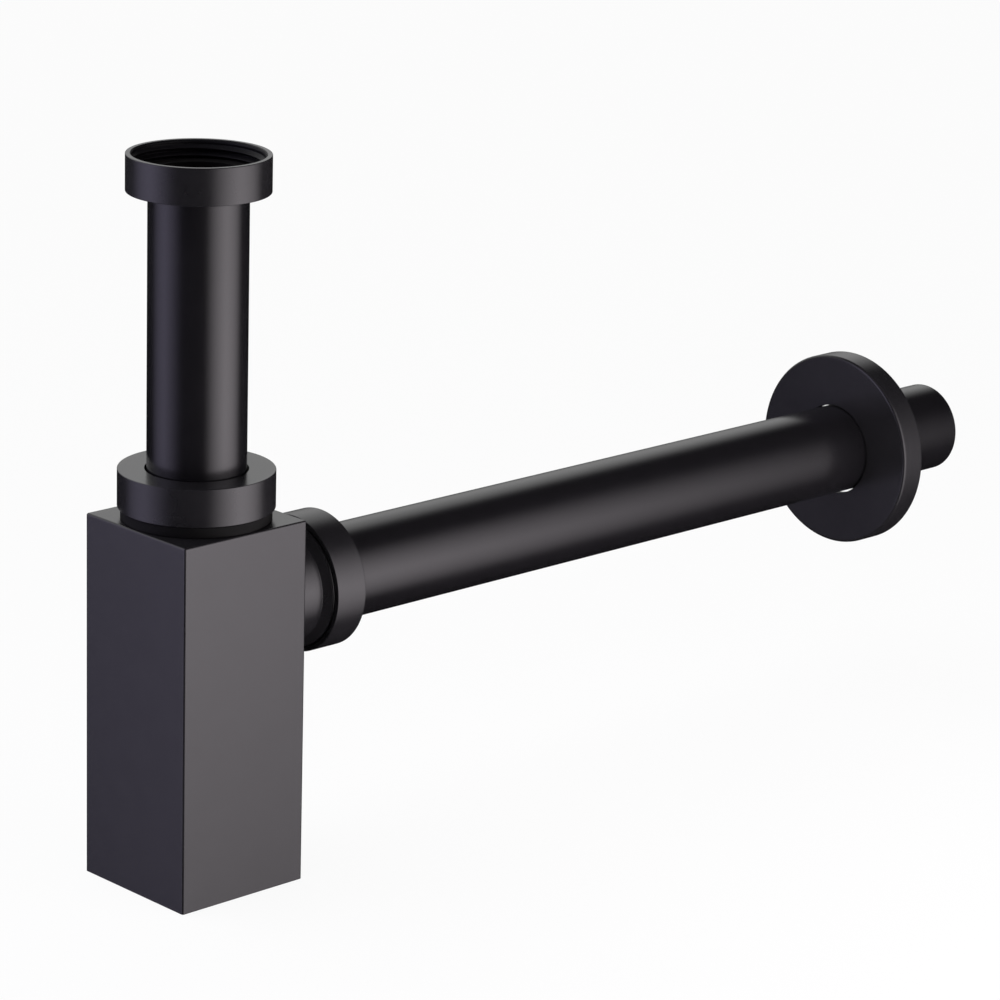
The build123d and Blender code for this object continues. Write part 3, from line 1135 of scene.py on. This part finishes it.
def towards(tree, way, azimuth):
    """How far a direction points towards an azimuth, from -1 to 1."""
    inputs = {0: way, 1: aimed(azimuth)}
    return add_node(tree, "ShaderNodeVectorMath", {"operation": "DOT_PRODUCT"}, inputs, output="Value")


class SoftPanel(NamedTuple):
    """A light panel round the object: its place, and its half size and soft border in width and height.

    Its azimuth is in degrees, and its lengths are in metres. It is named after its light in the studio.
    """

    light: str
    azimuth: float
    distance: float
    height: float
    half: tuple
    soft: tuple


FLOOR_REACH = 8.0
TOP_LIGHT_SPREAD = math.radians(60.0)
TOP_LIGHT_TILT = (math.radians(-15.0), math.radians(-20.0), 0.0)

# The backdrop's azimuth in degrees, and where its light comes and goes. A direction's unit vector counts:
# its height at the foot and the top, how far it points to the backdrop, and how far to one side of it.
BACKDROP_AZIMUTH = 46.0
BACKDROP_FOOT = (-0.25, 0.42)
BACKDROP_TOP = (0.60, 0.85)
BACKDROP_DEPTH = (-0.2, 0.5)
BACKDROP_SIDE = (0.10, 0.38)
PANELS = (
    SoftPanel("key_light", azimuth=-65.2, distance=0.44, height=-0.18, half=(0.23, 0.26), soft=(0.30, 0.36)),
    SoftPanel("side_light", azimuth=152.1, distance=0.50, height=0.03, half=(0.21, 0.48), soft=(0.30, 0.48)),
)


class TRAP_PT_panel(bpy.types.Panel):
    """Sidebar panel that lists the trap's sizes, finishes and operators."""

    bl_idname = "TRAP_PT_panel"
    bl_label = "Bottle Trap"
    bl_space_type = "VIEW_3D"
    bl_region_type = "UI"
    bl_category = "Bottle Trap"

    def draw(self, context):
        for operator in OPERATORS:
            self.layout.operator(operator.bl_idname)
        for pointer, group in GROUPS.items():
            box = self.layout.box()
            box.label(text=group.__doc__)
            for prop in group.__annotations__:
                box.prop(getattr(context.scene, pointer), prop)


GROUPS = {
    "trap_threads": TrapThreadSizes,
    "trap_pieces": TrapPieceSizes,
    "trap_finishes": TrapFinishes,
    "trap_studio": TrapStudio,
}
OPERATORS = (
    TRAP_OT_box,
    TRAP_OT_tubes,
    TRAP_OT_nuts,
    TRAP_OT_collars,
    TRAP_OT_seals,
    TRAP_OT_wall_flange,
    TRAP_OT_cleanout,
    TRAP_OT_studio,
)


def register():
    """Register the groups, operators and panel."""
    for pointer, group in GROUPS.items():
        bpy.utils.register_class(group)
        setattr(bpy.types.Scene, pointer, bpy.props.PointerProperty(type=group))
    for operator in OPERATORS:
        bpy.utils.register_class(operator)
    bpy.utils.register_class(TRAP_PT_panel)


def unregister():
    """Take them out again."""
    bpy.utils.unregister_class(TRAP_PT_panel)
    for operator in reversed(OPERATORS):
        bpy.utils.unregister_class(operator)
    for pointer, group in reversed(GROUPS.items()):
        delattr(bpy.types.Scene, pointer)
        bpy.utils.unregister_class(group)


def main():
    """Build the trap piece by piece and set the studio."""
    register()
    bpy.ops.trap.box()
    bpy.ops.trap.tubes()
    bpy.ops.trap.nuts()
    bpy.ops.trap.collars()
    bpy.ops.trap.seals()
    bpy.ops.trap.wall_flange()
    bpy.ops.trap.cleanout()
    bpy.ops.trap.studio()


if __name__ == "__main__":
    main()
